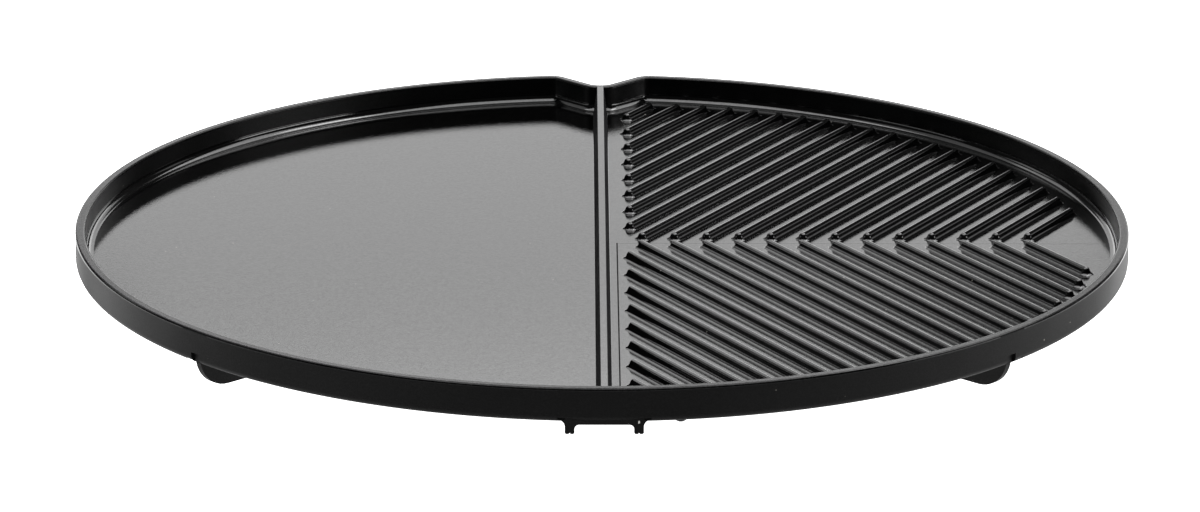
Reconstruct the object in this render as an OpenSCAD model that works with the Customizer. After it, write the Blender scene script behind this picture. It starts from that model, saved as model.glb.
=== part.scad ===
// Round camp griddle plate, die-cast in one piece: a flat half, a ribbed half, a divider bar between them
// and an upright rim that folds inwards in a V at the far end of the bar.
// The casting is divided into its own regions, which meet face to face.
// Millimetres. +X points to the ribbed half, +Y to the V, +Z up. The feet stand on Z = 0.

/* [Plate] */
// Outer diameter of the rim
plate_d = 470; // [400:1:560]
// Depth of the tray, from the rim's top down to the floor
tray_depth = 11.9; // [8:0.1:20]
// Thickness of the floor
floor_t = 3; // [2.5:0.1:5]

/* [Rim] */
// Width of the rim's top
rim_t = 4.6; // [4:0.1:7]
// Rounding of the two edges of the rim's top
rim_edge_r = 1.1; // [0.3:0.1:1.8]
// Fillet between the rim's inner face and the floor
rim_root_r = 3.5; // [1:0.1:5]
// Rounding of the rim's lower outer edge
rim_heel_r = 2.8; // [0.5:0.1:3.8]

/* [Notch] */
// Half of the V's width, between its sharp corners on the rim's circle
notch_half_w = 20.4; // [17:0.1:30]
// Depth of the V's sharp tip, from the rim's circle
notch_depth = 21; // [15:0.1:30]
// Bend of the outer face at the V's tip
notch_tip_r = 7; // [3:0.1:10]
// Bend of the floor's edge at the V's two corners
notch_bend_r = 1.5; // [0.5:0.1:3]

/* [Divider bar] */
// Width of the bar's top, between its sharp edges
bar_w = 3.3; // [2.6:0.1:6]
// Draft of the bar's sides
bar_draft = 7; // [3:0.5:10]
// Rounding of the two edges of the bar's top
bar_edge_r = 0.5; // [0.2:0.1:1.1]
// Fillet between the bar's side and the floor
bar_root_r = 0.6; // [0.4:0.1:2]

/* [Ribs] */
// Distance from rib to rib, square to the ribs
rib_pitch = 12.5; // [10:0.1:18]
// Angle between a rib and the chevrons' axis
rib_angle = 60; // [45:1:70]
// Height of a rib above the floor
rib_h = 3.3; // [2.6:0.1:5]
// Radius of a rib's round crest
rib_crest_r = 1.9; // [1.2:0.1:2.3]
// Draft of a rib's sides and ends
rib_draft = 20; // [10:1:30]
// Fillet between a rib's sides and ends and the floor
rib_root_r = 2; // [0.4:0.1:2.4]
// Where the first chevron's middle lines meet, from the bar's middle
chevron_start = 14.6; // [8:0.1:25]
// From the chevrons' axis to the nearest corner of the ribs' ends
axis_gap = 2.3; // [1:0.1:10]
// From the bar's middle to the nearest corner of the ribs' ends
bar_gap = 8.2; // [7.4:0.1:16]
// From the rim's fillet to the ribs' ends, on their middle lines
rib_rim_gap = 7; // [5:0.1:20]
// From the V's fillet to the nearest corner of the ribs' ends
rib_notch_gap = 1.5; // [0.5:0.1:6]
// Least length of bare floor on the chevrons' axis, at the rim
bare_end = 20; // [15:1:60]
// Least length of a rib
least_rib = 15; // [12:1:60]

/* [Seam] */
// Distance of the fine seam beside the bar from the bar's middle
seam_x = 6.7; // [5.5:0.1:6.8]
// Depth of the seam along the bar, which is half of its width
seam_depth = 0.3; // [0.1:0.05:0.5]
// Depth of the fainter seam along the chevrons' axis
axis_seam_depth = 0.15; // [0.05:0.05:0.4]

/* [Feet] */
// Height of the feet below the floor
foot_h = 12.1; // [8:0.1:20]
// Thickness of a foot
foot_t = 3; // [2:0.1:5]
// Length of a foot, towards the plate's middle
foot_len = 46; // [34:1:70]
// Angle of a foot from the bar's direction
foot_angle = 47.2; // [35:0.1:60]
// Round outer corner of a foot
foot_toe_r = 15; // [12:0.1:18]
// Round inner corner of a foot
foot_heel_r = 7; // [2:0.1:8]
// How far a foot's outer edge stands back from the rim's outer face
foot_setback = 1.6; // [0.8:0.1:2.4]
// Height of the pocket in the rim above a foot
pocket_h = 4.6; // [3.5:0.1:7]
// Room in the pocket beside a foot, on its outer side
pocket_side = 0.9; // [0.3:0.1:2]
// Flare of the pocket on the foot's inner side
pocket_flare_r = 3.4; // [1:0.1:3.5]

/* [Lugs] */
// Distance between the middles of the two lugs
lug_spacing = 28.5; // [20:0.5:45]
// Width of a lug
lug_w = 4; // [3:0.1:7]
// How far the lugs reach below the floor
lug_drop = 4.9; // [4.2:0.1:7]
// Depth of the lugs and of their web, along the bar
lug_depth = 5; // [3.6:0.1:8]
// How far the lugs stand back from the rim's outer face
lug_setback = 0.6; // [0.2:0.1:1.5]
// Rounding of a lug's lower edges
lug_edge_r = 0.8; // [0.3:0.1:1.2]
// Fillet between a lug and the web
lug_root_r = 1.9; // [0.8:0.1:2.2]
// Flare of a lug's root on its outer side
lug_flare_r = 3.2; // [2:0.1:4]
// Depth of the fine groove under a lug
lug_groove = 0.5; // [0.2:0.1:0.8]
// How far the web between the lugs reaches below the floor
web_drop = 0.9; // [0.6:0.1:1.6]

/* [Stud] */
// Diameter of the round stud under the ribbed half
stud_d = 7; // [5:0.1:10]
// How much shorter than the feet the stud is
stud_rise = 1.3; // [0.1:0.1:3]
// Distance of the stud's middle from the rim's outer face
stud_inset = 31; // [20:1:80]
// Angle of the stud from the bar's direction
stud_angle = 9; // [6:0.5:25]

/* [Hidden] */
// Fine circles for the rim, coarser ones for edges and small parts
ring_fn = 360;
edge_fn = 48;
$fn = edge_fn;

// Heights
under_z = foot_h;
floor_z = under_z + floor_t;
rim_z = floor_z + tray_depth;

// The rim's plan: a circle, two corner bends, two straight legs and the bend at the V's tip.
// The right leg runs from the tip outwards along leg_dir, and leg_in points from its outer face to the tray.
rim_r = plate_d / 2;
rim_foot_w = rim_t + rim_root_r;
tip = [0, rim_r - notch_depth];
leg_a = atan2(sqrt(rim_r * rim_r - notch_half_w * notch_half_w) - tip.y, notch_half_w);
leg_dir = [cos(leg_a), sin(leg_a)];
leg_in = [sin(leg_a), -cos(leg_a)];
corner_r = notch_bend_r + rim_foot_w;
corner_base = tip + corner_r * leg_in;
corner_along = corner_base * leg_dir;
corner_reach = rim_r - corner_r;
leg_end = sqrt(corner_along * corner_along - corner_base * corner_base + corner_reach * corner_reach)
    - corner_along;
corner = corner_base + leg_end * leg_dir;
corner_a = atan2(corner.y, corner.x);
leg_start = notch_tip_r * tan(leg_a);
tip_bend = [0, tip.y + notch_tip_r / cos(leg_a)];

// The bar. Its edges' curves are centred at bar_half from its middle.
bar_half = bar_w / 2 - bar_edge_r * (1 - sin(bar_draft)) / cos(bar_draft);
bar_shoulder = shoulder(bar_half, tray_depth, bar_edge_r, bar_draft);
bar_foot_w = 2 * foot_reach(bar_shoulder, bar_draft, bar_root_r);

// The ribs' pattern. A rib of the quarter beside the V runs outwards along rib_dir and widens along rib_side.
// Its middle line crosses the chevrons' axis at x, and its ends lie at rib_from(x) and rib_to(x) along it.
rib_dir = [cos(rib_angle), sin(rib_angle)];
rib_side = [sin(rib_angle), -cos(rib_angle)];
rib_half_w = rib_reach(0, rib_h);
// Rise of the ends' round edges above the crest, so that they cross it at a clear angle
nose_lift = 0.3;
field_r = rim_r - rim_foot_w - rib_rim_gap;
step_x = rib_pitch / sin(rib_angle);
axis_start = (axis_gap - rib_half_w * rib_side.y) / rib_dir.y;
last_chevron = floor((field_r - bare_end - chevron_start - axis_start * rib_dir.x) / step_x);
last_bar_rib = floor((field_r + chevron_start) / step_x);

// The feet, lugs and stud
foot_out = rim_r - foot_setback;
pocket_w = foot_t + 2 * pocket_side;
lug_face_y = lug_setback - rim_r;
// Top of a lug's flare, a little above the line where the lugs' face runs into the rim's rounded lower edge
flare_sink = 0.3;
flare_top = rim_heel_r - sqrt(rim_heel_r * rim_heel_r - pow(rim_heel_r - lug_setback, 2)) + flare_sink;
// Reach of a cut past the face that it opens, and of a curve past tangency
past = 1;
clear = 0.005;
black = "#1c1c1d";
satin_black = "#262627";

function mirrored(p) = [-p.x, p.y];

// Where a crest curve of radius r, centred at half from the middle, meets a drafted face: its shoulder.
// Below it, a fillet of radius root_r carries the face out to the reach of the foot.
function shoulder(half, top, r, draft) = [half + r * cos(draft), top - r * (1 - sin(draft))];
function foot_reach(s, draft, root_r) = s.x + (s.y - root_r) * tan(draft) + root_r / cos(draft);
function rib_reach(half, top) =
    foot_reach(shoulder(half, top, rib_crest_r, rib_draft), rib_draft, rib_root_r);

// Start of a rib, clear of the axis and the bar
function rib_from(x) = max(axis_start, (bar_gap + rib_half_w * rib_side.x - x) / rib_dir.x);

// Where a rib's middle line reaches the field's edge, and where its corner comes near the V
function to_edge(x) = -x * rib_dir.x + sqrt(max(0, field_r * field_r - pow(x * rib_side.x, 2)));
function to_notch(x) = (([x, 0] - tip - rib_half_w * rib_side) * leg_in - rim_foot_w - rib_notch_gap)
    / max(clear, -rib_dir * leg_in);
function rib_to(x) = min(to_edge(x), to_notch(x));

// What a square corner loses when it is rounded, with the corner at the origin and the solid towards +X +Y
module corner_waste(r) {
    difference() {
        translate([-past, -past]) square(r + past);
        translate([r, r]) circle(r, $fn = edge_fn);
    }
}

// Section of the rim without its rounded edges: X runs inwards from the outer face
module rim_envelope() {
    translate([0, under_z]) square([rim_t, rim_z - under_z]);
    difference() {
        translate([0, under_z]) square([rim_foot_w, floor_t + rim_root_r]);
        translate([rim_foot_w, floor_z + rim_root_r]) circle(rim_root_r, $fn = edge_fn);
    }
}

module rim_section() {
    difference() {
        rim_envelope();
        translate([0, under_z]) corner_waste(rim_heel_r);
        translate([0, rim_z]) mirror([0, 1]) corner_waste(rim_edge_r);
        translate([rim_t, rim_z]) rotate(180) corner_waste(rim_edge_r);
    }
}

// The rim's section swept about a bend with the tray on the bend's inner side
module inward_bend(r, from, to) {
    rotate([0, 0, from])
        rotate_extrude(angle = to - from, $fn = ring_fn) translate([r, 0]) mirror([1, 0]) rim_section();
}

module ring_sweep() {
    inward_bend(rim_r, 180 - corner_a, 360 + corner_a);
}

module notch_side() {
    translate(corner) inward_bend(corner_r, corner_a, leg_a + 90);
    translate(tip + leg_end * leg_dir)
        rotate([0, 0, leg_a - 90]) rotate([90, 0, 0]) linear_extrude(leg_end - leg_start) rim_section();
}

module notch_sweep() {
    union() {
        notch_side();
        mirror([1, 0, 0]) notch_side();
        translate(tip_bend) rotate([0, 0, -90 - leg_a])
            rotate_extrude(angle = 2 * leg_a) translate([notch_tip_r, 0]) rim_section();
    }
}

// What the rim takes from the bar's near end, and the V's tip from its far end
module bar_ends() {
    rotate_extrude($fn = ring_fn) translate([rim_r, 0]) mirror([1, 0]) rim_envelope();
    translate(tip_bend) rotate_extrude($fn = ring_fn) {
        translate([notch_tip_r, 0]) rim_envelope();
        translate([0, under_z]) square([notch_tip_r, rim_z - under_z]);
    }
}

// Plan of the tray's floor, inside the rim's fillet
module tray_plan() {
    right = [
        tip + rim_foot_w * leg_in + leg_start * leg_dir,
        tip + rim_foot_w * leg_in + leg_end * leg_dir,
        corner,
        corner * rim_r / corner_reach
    ];
    left = [for (i = [len(right) - 1 : -1 : 0]) mirrored(right[i])];
    difference() {
        circle(rim_r - rim_foot_w, $fn = ring_fn);
        polygon(concat(right, left));
        translate(tip_bend) circle(notch_tip_r + rim_foot_w);
    }
    for (c = [corner, mirrored(corner)]) translate(c) circle(notch_bend_r);
}

// One half of the floor, clear of the bar's foot
module floor_half() {
    translate([0, 0, under_z]) linear_extrude(floor_t) intersection() {
        tray_plan();
        translate([bar_foot_w / 2, -rim_r]) square([rim_r, plate_d]);
    }
}

// Lower part of a bar's or rib's outline, between its two shoulders: drafted faces, and fillets at the floor.
// The curves run a touch past tangency, so that each crosses the next line at a clear angle.
module drafted_base(s, draft, root_r) {
    foot_x = foot_reach(s, draft, root_r);
    root = [foot_x - root_r * cos(draft), root_r * (1 - sin(draft))];
    flank = [[foot_x, 0], [foot_x, root.y], root, s - [clear, 0]];
    difference() {
        polygon(concat(flank, [for (i = [len(flank) - 1 : -1 : 0]) mirrored(flank[i])]));
        for (side = [-1, 1]) translate([side * (foot_x - clear), root_r - clear]) circle(root_r);
    }
}

// Round top of such an outline, down to half of the shoulder's height or the circle's middle
module round_crest(s, top, r) {
    low = max(s.y / 2, top - r);
    intersection() {
        translate([0, top - r]) circle(r);
        translate([-r, low]) square([2 * r, top - low + past]);
    }
}

// Flat-topped outline, with its crest curves' centres at half from the middle
module broad_outline(half, top, r, draft, root_r) {
    s = shoulder(half, top, r, draft);
    low = max(s.y / 2, top - r);
    for (side = [-1, 1]) translate([side * half, 0]) round_crest(s, top, r);
    translate([-half, low]) square([2 * half, top - low]);
    drafted_base(s, draft, root_r);
}

module bar_section() {
    translate([0, floor_z]) broad_outline(bar_half, tray_depth, bar_edge_r, bar_draft, bar_root_r);
    translate([-bar_foot_w / 2, under_z]) square([bar_foot_w, floor_t]);
}

module rib_section() {
    s = shoulder(0, rib_h, rib_crest_r, rib_draft);
    round_crest(s, rib_h, rib_crest_r);
    drafted_base(s, rib_draft, rib_root_r);
}

// Side view of a rib, with its crest curves' centres at half from the middle
module rib_length_view(half) {
    broad_outline(half, rib_h + nose_lift, rib_crest_r, rib_draft, rib_root_r);
}

// A rib along X, with its middle at the origin: its section and its side view cut one from the other
module rib(length) {
    half = length / 2 - rib_reach(0, rib_h + nose_lift);
    intersection() {
        rotate([90, 0, 90]) linear_extrude(length + past, center = true) rib_section();
        rotate([90, 0, 0]) linear_extrude(2 * rib_half_w + past, center = true) rib_length_view(half);
    }
}

// The ribs of the quarter beside the V
module quarter_ribs() {
    for (k = [-last_bar_rib : last_chevron]) {
        x = chevron_start + k * step_x;
        length = rib_to(x) - rib_from(x);
        if (length >= least_rib)
            translate(concat([x, 0] + (rib_from(x) + length / 2) * rib_dir, floor_z))
                rotate([0, 0, rib_angle]) rib(length);
    }
}

// Square on its corner, whose lower half is the section of the seam
module seam_section(depth) {
    rotate(45) square(depth * sqrt(2), center = true);
}

// The fine seam round the near ribs: along the bar, and along the chevrons' axis
module seam() {
    translate([seam_x, 2 * seam_depth, floor_z])
        rotate([90, 0, 0]) linear_extrude(plate_d) seam_section(seam_depth);
    translate([seam_x, 0, floor_z])
        rotate([90, 0, 90]) linear_extrude(plate_d) seam_section(axis_seam_depth);
}

// Side view of a foot: X is the distance from the plate's middle
module foot_side() {
    difference() {
        translate([foot_out - foot_len, 0]) square([foot_len, under_z]);
        translate([foot_out - foot_len, 0]) corner_waste(foot_heel_r);
        translate([foot_out, 0]) mirror([1, 0]) corner_waste(foot_toe_r);
    }
}

// Puts its children at each foot, with X outwards and Y along the rim, away from the bar
module at_feet() {
    for (far = [0, 1]) mirror([0, far, 0])
        for (left = [0, 1]) mirror([left, 0, 0])
            rotate([0, 0, foot_angle - 90]) children();
}

// Outline of the pocket in the rim above a foot: X runs along the rim, Y up from the floor's underside
module pocket_outline() {
    translate([-pocket_w / 2, -past]) square([pocket_w, pocket_h + past]);
    translate([-pocket_w / 2, 0]) mirror([1, 0]) difference() {
        translate([-past, -past]) square(pocket_flare_r + past);
        translate([pocket_flare_r, pocket_flare_r]) circle(pocket_flare_r);
    }
}

// Front view of a lug, to the right of the plate's middle, with Y up from the floor's underside
module lug_front() {
    half = lug_w / 2;
    difference() {
        union() {
            translate([-half, -lug_drop]) square([lug_w, lug_drop + rim_heel_r]);
            translate([half, flare_top - lug_flare_r]) square(lug_flare_r);
            translate([-half - lug_root_r, -web_drop - lug_root_r])
                square([lug_root_r, web_drop + lug_root_r + rim_heel_r]);
        }
        translate([half + lug_flare_r, flare_top - lug_flare_r]) circle(lug_flare_r);
        translate([-half - lug_root_r, -web_drop - lug_root_r]) circle(lug_root_r);
        translate([-half, -lug_drop]) corner_waste(lug_edge_r);
        translate([half, -lug_drop]) mirror([1, 0]) corner_waste(lug_edge_r);
        translate([0, -lug_drop]) rotate(45) square(lug_groove * sqrt(2), center = true);
    }
}

// Extrudes a front view backwards from the lugs' face, cut to the rim's rounded lower edge
module lug_depth_of() {
    difference() {
        translate([0, lug_face_y + lug_depth, under_z])
            rotate([90, 0, 0]) linear_extrude(lug_depth) children();
        ring_sweep();
    }
}

module rim_wall() {
    color(black) difference() {
        ring_sweep();
        at_feet() translate([foot_out, 0, under_z])
            rotate([90, 0, 90]) linear_extrude(foot_setback + past) pocket_outline();
    }
}

module notch_wall() {
    color(black) notch_sweep();
}

module divider_bar() {
    color(black) difference() {
        translate([0, tip_bend.y, 0]) rotate([90, 0, 0])
            linear_extrude(tip_bend.y + rim_r - rim_t / 2) bar_section();
        bar_ends();
    }
}

module flat_floor() {
    color(black) mirror([1, 0, 0]) floor_half();
}

module ribbed_floor() {
    color(black) difference() {
        floor_half();
        seam();
    }
}

module far_ribs() {
    color(black) quarter_ribs();
}

module near_ribs() {
    color(black) mirror([0, 1, 0]) quarter_ribs();
}

module support_feet() {
    color(satin_black) at_feet()
        translate([0, foot_t / 2, 0]) rotate([90, 0, 0]) linear_extrude(foot_t) foot_side();
}

module locating_lugs() {
    color(satin_black) lug_depth_of() for (left = [0, 1])
        mirror([left, 0]) translate([lug_spacing / 2, 0]) lug_front();
}

module lug_web() {
    web_w = lug_spacing - lug_w - 2 * lug_root_r;
    color(satin_black) lug_depth_of()
        translate([-web_w / 2, -web_drop]) square([web_w, web_drop + rim_heel_r]);
}

module under_stud() {
    stud_r = stud_d / 2;
    color(satin_black) rotate([0, 0, stud_angle - 90]) translate([rim_r - stud_inset, 0, stud_rise])
        rotate_extrude() difference() {
            square([stud_r, under_z - stud_rise]);
            translate([stud_r, 0]) mirror([1, 0]) corner_waste(stud_r);
        }
}

rim_wall();
notch_wall();
divider_bar();
flat_floor();
ribbed_floor();
far_ribs();
near_ribs();
support_feet();
locating_lugs();
lug_web();
under_stud();
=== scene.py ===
import math

import bpy
from mathutils import Matrix, Vector


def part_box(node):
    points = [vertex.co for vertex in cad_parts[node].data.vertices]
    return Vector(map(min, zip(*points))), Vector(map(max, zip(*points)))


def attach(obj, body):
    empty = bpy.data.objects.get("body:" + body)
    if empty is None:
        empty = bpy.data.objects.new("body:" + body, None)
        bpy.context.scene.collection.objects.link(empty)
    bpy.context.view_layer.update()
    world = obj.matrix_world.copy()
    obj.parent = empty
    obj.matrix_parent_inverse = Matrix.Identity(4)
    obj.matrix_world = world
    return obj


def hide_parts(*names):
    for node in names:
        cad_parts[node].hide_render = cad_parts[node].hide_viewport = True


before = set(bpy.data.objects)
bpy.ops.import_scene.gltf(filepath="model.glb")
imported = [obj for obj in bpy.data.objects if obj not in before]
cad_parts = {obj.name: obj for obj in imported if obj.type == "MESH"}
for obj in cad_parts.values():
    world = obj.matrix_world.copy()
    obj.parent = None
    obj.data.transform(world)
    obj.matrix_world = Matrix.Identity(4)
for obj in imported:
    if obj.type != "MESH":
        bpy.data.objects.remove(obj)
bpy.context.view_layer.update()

# The two halves of the tray's floor: a plate 3 mm thick, die-cast in aluminium in one with the rest.
# The cooking side carries a glossy black non-stick coat, sprayed on and baked, with a fine grain.
# The underside has only the satin black coat of the outside. A narrow groove runs along the bar's foot.
seam_reach = 0.0085
faces_down = -0.5
groove_slope = 0.95


def add_node(tree, kind, inputs, **settings):
    """Adds a shader node, sets its settings, and sets or links its inputs by name or number."""
    node = tree.nodes.new("ShaderNode" + kind)
    for key, value in settings.items():
        setattr(node, key, value)
    for key, value in inputs.items():
        if isinstance(value, bpy.types.NodeSocket):
            tree.links.new(value, node.inputs[key])
        else:
            node.inputs[key].default_value = value
    return node


def soft_step(tree, value, low, high, at_low=0.0, at_high=1.0):
    """Maps a value from low..high to at_low..at_high, with a soft start and end."""
    inputs = {"Value": value, "From Min": low, "From Max": high, "To Min": at_low, "To Max": at_high}
    return add_node(tree, "MapRange", inputs, interpolation_type="SMOOTHSTEP").outputs["Result"]


def mix_colours(tree, share, first, second):
    """Goes from the first colour to the second as the share goes from 0 to 1."""
    share_input, first_input, second_input, colour_output = 0, 6, 7, 2
    inputs = {share_input: share, first_input: first, second_input: second}
    return add_node(tree, "Mix", inputs, data_type="RGBA").outputs[colour_output]


def black_coat(name, dark, light, gloss, dull, grain, grain_height, ior):
    """Black coat on cast aluminium: fine grain, uneven gloss, and a few pale specks of dust."""
    patch_scale, dust_scale = 16.0, 170.0
    speck_core, speck_edge = 0.04, 0.07
    rare_from, rare_full = 0.8, 0.81
    grain_dark, grain_light = 0.44, 0.64
    noise_low, noise_high = 0.3, 0.7
    sheen_low, sheen_high = 0.42, 0.58
    cool_tint = 1.04
    dust_colour = (0.2, 0.19, 0.17, 1)
    material = bpy.data.materials.new(name)
    material.use_nodes = True
    tree = material.node_tree
    shader = tree.nodes["Principled BSDF"]
    shader.inputs["IOR"].default_value = ior
    place = add_node(tree, "TexCoord", {}).outputs["Object"]
    fine_inputs = {"Vector": place, "Scale": 1 / grain, "Detail": 3.0, "Roughness": 0.65}
    fine = add_node(tree, "TexNoise", fine_inputs).outputs["Fac"]
    broad = add_node(tree, "TexNoise", {"Vector": place, "Scale": patch_scale, "Detail": 2.0}).outputs["Fac"]
    cells = add_node(tree, "TexVoronoi", {"Vector": place, "Scale": dust_scale})
    speck = soft_step(tree, cells.outputs["Distance"], speck_core, speck_edge, 1.0, 0.0)
    rare = soft_step(tree, cells.outputs["Color"], rare_from, rare_full)
    dust = add_node(tree, "Math", {0: speck, 1: rare}, operation="MULTIPLY").outputs[0]
    spread = soft_step(tree, fine, grain_dark, grain_light)
    body = mix_colours(tree, spread, (dark, dark, dark * cool_tint, 1), (light, light, light * cool_tint, 1))
    colour = mix_colours(tree, dust, body, dust_colour)
    roughness = soft_step(tree, broad, noise_low, noise_high, gloss, dull)
    sheen = soft_step(tree, fine, noise_low, noise_high, sheen_low, sheen_high)
    bump = add_node(tree, "Bump", {"Strength": 1.0, "Distance": grain_height, "Height": fine})
    tree.links.new(colour, shader.inputs["Base Color"])
    tree.links.new(roughness, shader.inputs["Roughness"])
    tree.links.new(sheen, shader.inputs["Specular IOR Level"])
    tree.links.new(bump.outputs["Normal"], shader.inputs["Normal"])
    return material


cooking_coat = black_coat("cooking_coat_gloss", dark=0.0004, light=0.0015, gloss=0.03, dull=0.05,
                          grain=0.0012, grain_height=0.00003, ior=1.52)
groove_coat = black_coat("cooking_coat_in_grooves", dark=0.0004, light=0.0015, gloss=0.08, dull=0.12,
                         grain=0.0012, grain_height=0.00003, ior=1.5)
outer_coat = black_coat("outer_coat_satin", dark=0.0006, light=0.002, gloss=0.48, dull=0.58,
                        grain=0.0005, grain_height=0.00002, ior=1.18)
rough_coat = black_coat("rough_cast_dull", dark=0.001, light=0.035, gloss=0.6, dull=0.75,
                        grain=0.0009, grain_height=0.00004, ior=1.12)


def add_piece(name, node, mesh):
    """Sets a mesh in the scene as the piece that stands for a region of the casting."""
    piece = bpy.data.objects.new(name, mesh)
    bpy.context.scene.collection.objects.link(piece)
    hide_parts(node)
    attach(piece, "root")


def lay_coats(mesh, coats):
    """Gives each face of a mesh its coat."""
    laid = []
    mesh.materials.clear()
    for face, coat in zip(mesh.polygons, coats):
        if coat not in laid:
            laid.append(coat)
            mesh.materials.append(coat)
        face.material_index = laid.index(coat)


def casting(node, name, coat_of):
    """The CAD shape of a region of the casting, with a coat chosen face by face."""
    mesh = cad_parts[node].data.copy()
    lay_coats(mesh, [coat_of(face) for face in mesh.polygons])
    add_piece(name, node, mesh)
    return mesh


def flat_floor_coat(face):
    """Gloss on top, satin below."""
    return outer_coat if face.normal.z < faces_down else cooking_coat


def ribbed_floor_coat(face):
    """Half gloss on top, satin below, and dull in the groove beside the bar."""
    if face.normal.z < faces_down:
        return outer_coat
    in_groove = face.normal.z < groove_slope and abs(face.center.x) < seam_reach
    return rough_coat if in_groove else groove_coat


casting("flat_floor", "flat_half_floor", flat_floor_coat)
casting("ribbed_floor", "ribbed_half_floor", ribbed_floor_coat)

# The chevron ribs of the two quarters, of aluminium, cast with the floor and coated with it.
# Each has a round crest, drafted sides that run into the floor in a fillet, and a rounded nose at each end.
# They stop short of the bar, of the chevrons' axis, of the round rim and of the V in the rim.
floor_low, floor_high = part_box("flat_floor")
floor_top = floor_high.z
rim_low, rim_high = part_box("rim_wall")
rim_radius, rim_top = min(rim_high.x, -rim_low.x), rim_high.z
rim_thickness, rim_root = 0.0046, 0.0035
rim_foot = rim_thickness + rim_root
notch_depth, notch_half = 0.021, 0.0204
notch_tip = Vector((0, rim_radius - notch_depth))
leg_angle = math.atan2(math.sqrt(rim_radius ** 2 - notch_half ** 2) - notch_tip.y, notch_half)
leg_in = Vector((math.sin(leg_angle), -math.cos(leg_angle)))
rib_pitch, rib_angle = 0.0125, math.radians(60)
rib_height, rib_crest, rib_root, rib_draft = 0.0033, 0.0019, 0.002, math.radians(20)
nose_length, nose_squareness = 0.0036, 2.2
chevron_start, axis_gap, toe_gap, notch_gap = 0.0146, 0.0023, 0.0088, 0.0015
edge_gap, end_margin, shortest_rib = 0.0151, 0.02, 0.015
field_radius = rim_radius - edge_gap
foot_sink = 0.00003
rib_dir = Vector((math.cos(rib_angle), math.sin(rib_angle)))
rib_side = Vector((math.sin(rib_angle), -math.cos(rib_angle)))
crest_reach = rib_crest * math.cos(rib_draft)
shoulder_z = rib_height - rib_crest * (1 - math.sin(rib_draft))
rib_half = crest_reach + (shoulder_z - rib_root) * math.tan(rib_draft) + rib_root / math.cos(rib_draft)
root_reach = rib_half - rib_root * math.cos(rib_draft)


def rib_profile(x):
    """Height of a rib at distance x from its middle line."""
    if x >= rib_half:
        return 0.0
    if x > root_reach:
        return rib_root - math.sqrt(rib_root ** 2 - (rib_half - x) ** 2)
    if x > crest_reach:
        return shoulder_z - (x - crest_reach) / math.tan(rib_draft)
    return rib_height - rib_crest + math.sqrt(rib_crest ** 2 - x * x)


def rib_surface(side, inset):
    """Height of a rib at a distance to the side of its middle line, inset from the nearer end."""
    along = rib_half * max(0.0, 1 - inset / nose_length)
    return rib_profile((abs(side) ** nose_squareness + along ** nose_squareness) ** (1 / nose_squareness))


def nose_reach(along, side):
    """How far a nose reaches from its centre in a direction given along the rib and to its side."""
    power = nose_squareness / (nose_squareness - 1)
    return ((abs(along) * nose_length) ** power + (abs(side) * rib_half) ** power) ** (1 / power)


root_rows, root_step = 11, 0.04
flank_rows = 2
crest_rows, crest_turn, crest_step = 7, 70, 10
rib_steps = [rib_half * (1 + root_step - root_step * i) for i in range(root_rows)]
rib_steps += [root_reach + (crest_reach - root_reach) * i / flank_rows for i in range(1, flank_rows + 1)]
rib_steps += [rib_crest * math.sin(math.radians(crest_turn - crest_step * i)) for i in range(1, crest_rows + 1)]
across = rib_steps + [-x for x in reversed(rib_steps[:-1])]
insets = [nose_length * (1 - x / rib_half) for x in rib_steps]


def rib_spans():
    """Each rib's crossing of the chevrons' axis, its start as a distance from there, and its length."""
    step_x = rib_pitch / math.sin(rib_angle)
    toe_x = toe_gap + nose_reach(rib_dir.x, rib_side.x)
    toe_y = axis_gap + nose_reach(rib_dir.y, rib_side.y)
    axis_start = toe_y / rib_dir.y - nose_length
    last = math.floor((field_radius - end_margin - chevron_start - axis_start * rib_dir.x) / step_x)
    first = -math.floor((field_radius + chevron_start) / step_x)
    least_approach = 5e-6
    spans = []
    for k in range(first, last + 1):
        x = chevron_start + k * step_x
        start = max(axis_start, (toe_x - x) / rib_dir.x - nose_length)
        to_edge = -x * rib_dir.x + math.sqrt(max(0, field_radius ** 2 - (x * rib_side.x) ** 2))
        base = Vector((x, 0)) - notch_tip - rib_half * rib_side
        to_notch = (base.dot(leg_in) - rim_foot - notch_gap) / max(least_approach, -rib_dir.dot(leg_in))
        length = min(to_edge, to_notch) - start
        if length >= shortest_rib:
            spans.append((x, start, length))
    return spans


def rib_rows(length):
    """Stations along a rib: distance from its start, sense of the nearer end, and inset from that end."""
    near_start = [(inset, 1, inset) for inset in insets]
    near_end = [(length - inset, -1, inset) for inset in reversed(insets)]
    return near_start + near_end


def quarter_of_ribs(name, node, flip):
    """All ribs of one quarter as one mesh, laid on the floor. A flip of -1 mirrors them in the axis."""
    verts, faces, normals = [], [], []
    rows, columns = 2 * len(insets), len(across)
    probe = 1e-7
    for x, start, length in rib_spans():
        begin = len(verts)
        for along, sense, inset in rib_rows(length):
            for side in across:
                z = rib_surface(side, inset)
                rise_side = rib_surface(side + probe, inset) - rib_surface(side - probe, inset)
                rise_along = rib_surface(side, inset + probe) - rib_surface(side, inset - probe)
                spot = Vector((x, 0)) + rib_dir * (start + along) + rib_side * side
                tilt = rib_dir * (-rise_along / (2 * probe) * sense) + rib_side * (-rise_side / (2 * probe))
                verts.append((spot.x, flip * spot.y, floor_top + z - (foot_sink if z == 0.0 else 0)))
                normals.append(Vector((tilt.x, flip * tilt.y, 1)).normalized())
        for i in range(rows - 1):
            for j in range(columns - 1):
                a = begin + i * columns + j
                quad = (a, a + columns, a + columns + 1, a + 1)
                faces.append(quad[::flip])
    mesh = bpy.data.meshes.new(name)
    mesh.from_pydata(verts, [], faces)
    mesh.shade_smooth()
    mesh.normals_split_custom_set_from_vertices(normals)
    mesh.materials.append(cooking_coat)
    add_piece(name, node, mesh)


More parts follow.
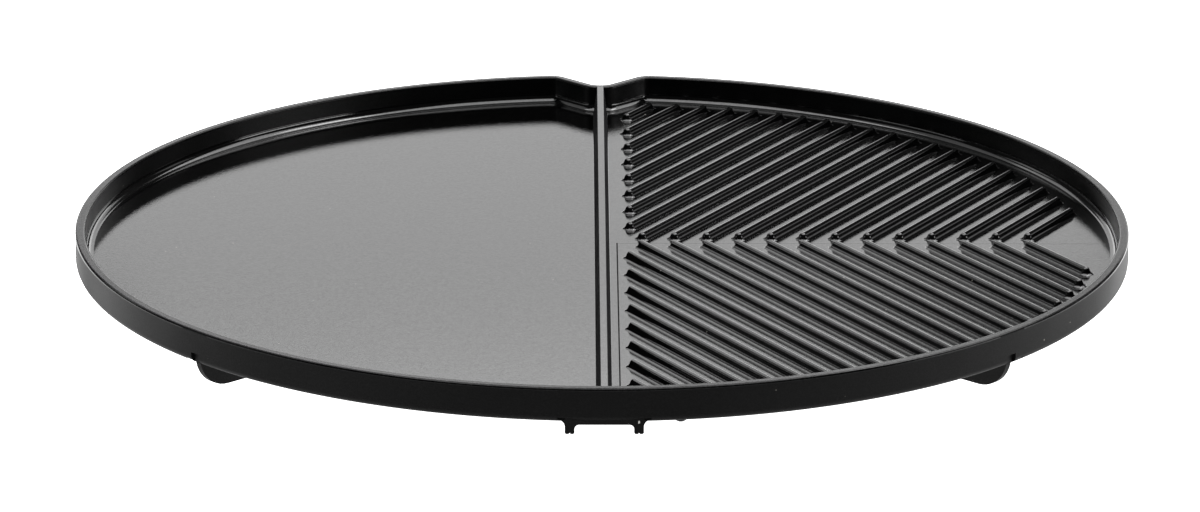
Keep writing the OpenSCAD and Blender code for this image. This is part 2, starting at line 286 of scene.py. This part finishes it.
quarter_of_ribs("far_quarter_ribs", "far_ribs", 1)
quarter_of_ribs("near_quarter_ribs", "near_ribs", -1)

# The bar that parts the two halves, of aluminium, cast with the floor and level with the rim.
# Its drafted sides keep the dull skin of the casting, and its top is rubbed smooth and glossy.
# Both ends run on over the rounded edge of the rim, so that the tops meet without a groove.
rim_edge = 0.0011
bar_top = 0.9


def bar_coat(face):
    """Satin below, gloss on the top, dull on the sides."""
    if face.normal.z < faces_down:
        return outer_coat
    return cooking_coat if face.normal.z > bar_top else rough_coat


for corner in casting("divider_bar", "parting_bar", bar_coat).vertices:
    corner.co.y += math.copysign(rim_edge, corner.co.y)

# The upright rim round the tray, of aluminium, cast with the floor.
# The fillet at its foot is half glossy, its inner face satin, its top rubbed brighter, its outside duller.
# It is a fine sweep of one section, with the CAD's own outside cut in at the pockets above the four feet.
rim_heel, foot_flange = 0.0028, 0.0004
under_z = floor_low.z
fillet_steps, edge_steps, heel_steps = 12, 5, 6
fillet_coat = black_coat("fillet_half_gloss", dark=0.0004, light=0.0015, gloss=0.07, dull=0.12,
                         grain=0.0009, grain_height=0.00001, ior=1.5)
wall_coat = black_coat("tray_wall_satin", dark=0.0005, light=0.002, gloss=0.28, dull=0.36,
                       grain=0.0006, grain_height=0.00001, ior=1.32)
rim_top_coat = black_coat("rim_top_rubbed", dark=0.001, light=0.004, gloss=0.14, dull=0.24,
                          grain=0.0012, grain_height=0.00003, ior=1.25)


def section_curve(coat, centre, radius, start, end, steps, sense):
    """Points of a curve in the rim's section: depth from the outer face, height, facing direction, and coat."""
    points = []
    for i in range(steps + 1):
        angle = math.radians(start + (end - start) * i / steps)
        deep, up = math.cos(angle), math.sin(angle)
        points.append((centre[0] + radius * deep, centre[1] + radius * up, sense * deep, sense * up, coat))
    return points


fillet_centre = (rim_foot, floor_top + rim_root)
inner_edge_centre = (rim_thickness - rim_edge, rim_top - rim_edge)
outer_edge_centre = (rim_edge, rim_top - rim_edge)
heel_centre = (rim_heel, under_z + rim_heel)
inner_section = [(rim_foot + foot_flange, floor_top - foot_sink, 0.0, 1.0, fillet_coat)]
inner_section += section_curve(fillet_coat, fillet_centre, rim_root, 270, 180, fillet_steps, -1)
inner_section[-1] = inner_section[-1][:4] + (wall_coat,)
inner_section += section_curve(rim_top_coat, inner_edge_centre, rim_edge, 0, 90, edge_steps, 1)
outer_section = section_curve(rim_top_coat, outer_edge_centre, rim_edge, 90, 180, edge_steps, 1)
outer_section[-1] = outer_section[-1][:4] + (outer_coat,)
outer_section += section_curve(outer_coat, heel_centre, rim_heel, 180, 270, heel_steps, 1)
outer_section.append((rim_foot, under_z, 0.0, -1.0, outer_coat))


def rim_sweep(section, path):
    """Faces of a section carried along a path of points and inward directions, with their corners' facing."""
    faces = []
    for (p, p_in), (q, q_in) in zip(path, path[1:]):
        for a, b in zip(section, section[1:]):
            corners = []
            for spot, inward, row in ((p, p_in, a), (q, q_in, a), (q, q_in, b), (p, p_in, b)):
                place, facing = spot + inward * row[0], inward * row[2]
                corners.append((Vector((place.x, place.y, row[1])), Vector((facing.x, facing.y, row[3]))))
            turn = (corners[1][0] - corners[0][0]).cross(corners[3][0] - corners[0][0])
            faces.append((corners if turn.dot(corners[0][1]) > 0 else corners[::-1], a[4]))
    return faces


def faced_mesh(name, faces):
    """A mesh of faces given by their corners, the corners' facing directions, and a coat."""
    merge_digits = 7
    mesh = bpy.data.meshes.new(name)
    index, verts, polygons, facings = {}, [], [], []
    for corners, coat in faces:
        polygon = []
        for place, facing in corners:
            key = tuple(round(v, merge_digits) for v in place)
            if key not in index:
                index[key] = len(verts)
                verts.append(place)
            polygon.append(index[key])
            facings.append(facing)
        polygons.append(polygon)
    mesh.from_pydata(verts, [], polygons)
    mesh.shade_smooth()
    mesh.normals_split_custom_set(facings)
    lay_coats(mesh, [coat for corners, coat in faces])
    return mesh


def bend_path(middle, radius, start, end, steps, inward):
    """Points and inward directions round a bend of the rim's outer face."""
    path = []
    for i in range(steps + 1):
        angle = start + (end - start) * i / steps
        ray = Vector((math.cos(angle), math.sin(angle)))
        path.append((middle + ray * radius, ray * inward))
    return path


def round_terms(place, facing, middle):
    """A corner as its angle from a pocket's middle, radius and height, and its facing outwards, along and up."""
    ray = Matrix.Rotation(-middle, 3, "Z") @ place
    angle = math.atan2(ray.y, ray.x)
    return [angle, math.hypot(ray.x, ray.y), ray.z, *(Matrix.Rotation(-middle - angle, 3, "Z") @ facing)]


def round_corner(terms, middle):
    """The place and the facing direction of a corner given in such terms."""
    turned = Matrix.Rotation(middle + terms[0], 3, "Z")
    return turned @ Vector((terms[1], 0, terms[2])), (turned @ Vector(terms[3:])).normalized()


def cut_face(corners, limit, sense):
    """The part of a face, given in such terms, that lies short of a limit to one side of the pocket."""
    kept = []
    for a, b in zip(corners, corners[1:] + corners[:1]):
        a_room, b_room = limit - sense * a[0], limit - sense * b[0]
        if a_room >= 0:
            kept.append(a)
        if a_room * b_room < 0:
            share = a_room / (a_room - b_room)
            kept.append([u + (v - u) * share for u, v in zip(a, b)])
    return kept


# The round part ends where the two corner bends of the V begin.
bend_radius = 0.0015
corner_radius = bend_radius + rim_foot
leg_dir = Vector((math.cos(leg_angle), math.sin(leg_angle)))
corner_base = notch_tip + corner_radius * leg_in
corner_along = corner_base.dot(leg_dir)
corner_reach = rim_radius - corner_radius
leg_end = math.sqrt(corner_along ** 2 - corner_base.length_squared + corner_reach ** 2) - corner_along
corner_middle = corner_base + leg_end * leg_dir
corner_angle = math.atan2(corner_middle.y, corner_middle.x)

# The swept spans take turns with the short ones at the pockets, where only the inner side is swept.
foot_angle = math.radians(42.8)
pockets = [math.pi - foot_angle, math.pi + foot_angle, math.tau - foot_angle, math.tau + foot_angle]
pocket_half = 0.008
pocket_reach = pocket_half / rim_radius
round_step = math.radians(1)
span_ends = [math.pi - corner_angle]
for middle in pockets:
    span_ends += [middle - pocket_reach, middle + pocket_reach]
span_ends.append(math.tau + corner_angle)
round_faces = []
for number, (start, end) in enumerate(zip(span_ends, span_ends[1:])):
    at_pocket = number % 2
    steps = 2 * math.ceil((end - start) / (2 * round_step))
    path = bend_path(Vector((0, 0)), rim_radius, start, end, steps, -1)
    round_faces += rim_sweep(inner_section if at_pocket else inner_section + outer_section, path)

# The CAD's top and outside at the pockets, cut off where the sweep goes on.
inward_lean, top_face, far_angle = -0.02, 0.5, 0.5
cad_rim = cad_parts["rim_wall"].data
for face in cad_rim.polygons:
    outward = Vector((face.center.x, face.center.y, 0)).normalized()
    if face.normal.dot(outward) < inward_lean:
        continue
    places = [cad_rim.vertices[cad_rim.loops[i].vertex_index].co for i in face.loop_indices]
    facings = [cad_rim.corner_normals[i].vector for i in face.loop_indices]
    for middle in pockets:
        if abs(round_terms(face.center, face.normal, middle)[0]) > far_angle:
            continue
        corners = [round_terms(place, facing, middle) for place, facing in zip(places, facings)]
        corners = cut_face(cut_face(corners, pocket_reach, 1), pocket_reach, -1)
        if len(corners) > 2:
            coat = rim_top_coat if face.normal.z > top_face else outer_coat
            round_faces.append(([round_corner(terms, middle) for terms in corners], coat))
add_piece("round_rim", "rim_wall", faced_mesh("round_rim", round_faces))

# The fold of the rim into a V at the far end of the bar, of aluminium, cast in one with the round part.
# It has the same section and the same coats: two corner bends, two straight legs and the bend at the tip.
tip_radius = 0.007
corner_steps, tip_steps = 10, 20
quarter_turn = math.pi / 2
tip_middle = Vector((0, notch_tip.y + tip_radius / math.cos(leg_angle)))
right_leg = bend_path(corner_middle, corner_radius, corner_angle, leg_angle + quarter_turn, corner_steps, -1)
tip_path = bend_path(tip_middle, tip_radius, leg_angle - quarter_turn, -leg_angle - quarter_turn, tip_steps, 1)
left_leg = [(Vector((-spot.x, spot.y)), Vector((-inward.x, inward.y))) for spot, inward in reversed(right_leg)]
fold_faces = rim_sweep(inner_section + outer_section, right_leg + tip_path + left_leg)
add_piece("folded_rim", "notch_wall", faced_mesh("folded_rim", fold_faces))

# The four radial fins that the plate stands on, of aluminium, cast on the underside, with flat soles.
# They have the outside's satin black coat.
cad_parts["support_feet"].material_slots[0].material = outer_coat

# The two lugs below the near end of the bar and the low web between them, of aluminium, cast with the wall.
# They probably straddle a tab of the burner.
# They have the outside's satin black coat, with a small chip at the right lug's root.
chip_middle = (0.01425, -0.2335, 0.0124)
chip_stretch = (1.0, 0.1, 0.68)
chip_radius, chip_edge = 0.0007, 1.25
chip_grain = 1800.0
bare_metal = (0.5, 0.49, 0.47, 1)


def chip_coat(material):
    """Knocks a small chip out of a coat, down to the bare grey metal."""
    tree = material.node_tree
    base = tree.nodes["Principled BSDF"].inputs["Base Color"]
    coat_colour = base.links[0].from_socket
    place = add_node(tree, "TexCoord", {}).outputs["Object"]
    offset = add_node(tree, "VectorMath", {0: place, 1: chip_middle}, operation="SUBTRACT").outputs["Vector"]
    stretched = add_node(tree, "VectorMath", {0: offset, 1: chip_stretch}, operation="MULTIPLY").outputs["Vector"]
    reach = add_node(tree, "VectorMath", {0: stretched}, operation="LENGTH").outputs["Value"]
    ragged = add_node(tree, "TexNoise", {"Vector": place, "Scale": chip_grain, "Detail": 2.0}).outputs["Fac"]
    shift = add_node(tree, "Math", {0: ragged, 1: chip_radius, 2: reach}, operation="MULTIPLY_ADD").outputs[0]
    bare = soft_step(tree, shift, chip_radius, chip_radius * chip_edge, 1.0, 0.0)
    tree.links.new(mix_colours(tree, bare, coat_colour, bare_metal), base)


chip_coat(outer_coat)
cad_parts["locating_lugs"].material_slots[0].material = outer_coat
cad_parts["lug_web"].material_slots[0].material = outer_coat

# A small round stud on the underside beside the right lug, of aluminium, cast with the floor.
# It has the outside's satin black coat.
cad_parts["under_stud"].material_slots[0].material = outer_coat

# The shooting table: a wide sheet of white acrylic, lit from below, and more so towards the back.
# It shows only from above, so that the plate can be looked at from below.
table_half = 9.0
front_y, back_y = -0.32, 0.0
front_glow, back_glow = 1.2, 2.6
table_corners = [(-table_half, -table_half, 0), (table_half, -table_half, 0),
                 (table_half, table_half, 0), (-table_half, table_half, 0)]
table_mesh = bpy.data.meshes.new("shooting_table")
table_mesh.from_pydata(table_corners, [], [(0, 1, 2, 3)])
table = bpy.data.objects.new("shooting_table", table_mesh)
bpy.context.scene.collection.objects.link(table)
sheet = bpy.data.materials.new("white_sheet")
sheet.use_nodes = True
sheet_tree = sheet.node_tree
sheet_shader = sheet_tree.nodes["Principled BSDF"]
sheet_shader.inputs["Base Color"].default_value = (0.2, 0.2, 0.2, 1)
sheet_shader.inputs["Roughness"].default_value = 0.9
sheet_shader.inputs["Specular IOR Level"].default_value = 0.1
sheet_shader.inputs["Emission Color"].default_value = (1, 1, 1, 1)
sheet_geometry = add_node(sheet_tree, "NewGeometry", {})
sheet_y = add_node(sheet_tree, "SeparateXYZ", {0: sheet_geometry.outputs["Position"]}).outputs["Y"]
glow = soft_step(sheet_tree, sheet_y, front_y, back_y, front_glow, back_glow)
sheet_tree.links.new(glow, sheet_shader.inputs["Emission Strength"])
seen_from_below = sheet_geometry.outputs["Backfacing"]
clear = add_node(sheet_tree, "BsdfTransparent", {}).outputs[0]
one_sided = add_node(sheet_tree, "MixShader", {0: seen_from_below, 1: sheet_shader.outputs[0], 2: clear})
sheet_tree.links.new(one_sided.outputs[0], sheet_tree.nodes["Material Output"].inputs["Surface"])
table_mesh.materials.append(sheet)

# The studio lights: soft boxes behind, at the sides and overhead, all facing the plate.
# The middle one behind lies as a grey sheen on the flat half, and the others draw the lines on ribs and walls.
rim_middle = Vector((0, 0, rim_top))


def soft_box(name, azimuth, elevation, distance, width, height, brightness):
    """A rectangular studio light that faces the plate. Azimuth runs clockwise from straight behind it."""
    light = bpy.data.lights.new(name, "AREA")
    light.shape = "RECTANGLE"
    light.size, light.size_y = width, height
    light.energy = brightness * width * height * math.pi
    box = bpy.data.objects.new(name, light)
    a, e = math.radians(azimuth), math.radians(elevation)
    away = Vector((math.sin(a) * math.cos(e), math.cos(a) * math.cos(e), math.sin(e)))
    box.location = rim_middle + away * distance
    box.rotation_euler = away.to_track_quat("Z", "Y").to_euler()
    box.visible_camera = False
    bpy.context.scene.collection.objects.link(box)


soft_box("back_light", azimuth=5, elevation=16, distance=2.6, width=2.6, height=0.37, brightness=1.42)
soft_box("back_light_low", azimuth=5, elevation=7.9, distance=2.6, width=2.6, height=0.36, brightness=2.5)
soft_box("back_light_upper", azimuth=0, elevation=22.8, distance=2.6, width=0.82, height=0.245, brightness=2.2)
soft_box("left_light_upper", azimuth=-22, elevation=33, distance=2.6, width=1.3, height=0.6, brightness=1.5)
soft_box("left_light", azimuth=-54, elevation=24, distance=2.4, width=0.6, height=0.5, brightness=1.4)
soft_box("right_light", azimuth=58, elevation=19, distance=2.4, width=0.45, height=0.5, brightness=0.75)
soft_box("right_light_low", azimuth=100, elevation=6, distance=1.6, width=0.9, height=0.5, brightness=5.5)
soft_box("left_light_low", azimuth=-100, elevation=6, distance=1.6, width=0.9, height=0.5, brightness=1.2)
soft_box("right_light_high", azimuth=50, elevation=50, distance=2.4, width=2.2, height=1.1, brightness=3.8)
soft_box("left_light_high", azimuth=-50, elevation=50, distance=2.4, width=2.2, height=1.1, brightness=0.8)
soft_box("right_lamp", azimuth=60, elevation=58, distance=2.3, width=0.5, height=0.5, brightness=8.0)
soft_box("top_light", azimuth=0, elevation=88, distance=2.2, width=2.3, height=2.3, brightness=4.5)

world = bpy.data.worlds.new("studio")
bpy.context.scene.world = world
world.use_nodes = True
world.node_tree.nodes["Background"].inputs["Color"].default_value = (0.05, 0.05, 0.05, 1)

# The camera, where the photographer stood: far off, a little above the plate, with a long lens.
# Angles and offsets are fitted to the rim's outline in the picture, which is 1200 pixels wide.
frame_width = 1200
focal_pixels = 5811
sensor_width = 36
elevation = math.radians(17.3)
turn = math.radians(0.28)
roll = math.radians(0.15)
distance = 2.6
rise_pixels = 38.0
side_pixels = 2.0
camera_data = bpy.data.cameras.new("camera")
camera_data.sensor_width = sensor_width
camera_data.lens = sensor_width * focal_pixels / frame_width
camera_data.clip_end = 100
camera = bpy.data.objects.new("camera", camera_data)
level = math.cos(elevation)
back = Vector((-math.sin(turn) * level, -math.cos(turn) * level, math.sin(elevation)))
camera.location = rim_middle + back * distance
look = (-back).to_track_quat("-Z", "Y").to_matrix()
look = look @ Matrix.Rotation(math.atan(side_pixels / focal_pixels), 3, "Y")
look = look @ Matrix.Rotation(-math.atan(rise_pixels / focal_pixels), 3, "X")
look = look @ Matrix.Rotation(roll, 3, "Z")
camera.rotation_euler = look.to_euler()
bpy.context.scene.collection.objects.link(camera)
bpy.context.scene.camera = camera
bpy.context.scene.view_settings.view_transform = "Standard"
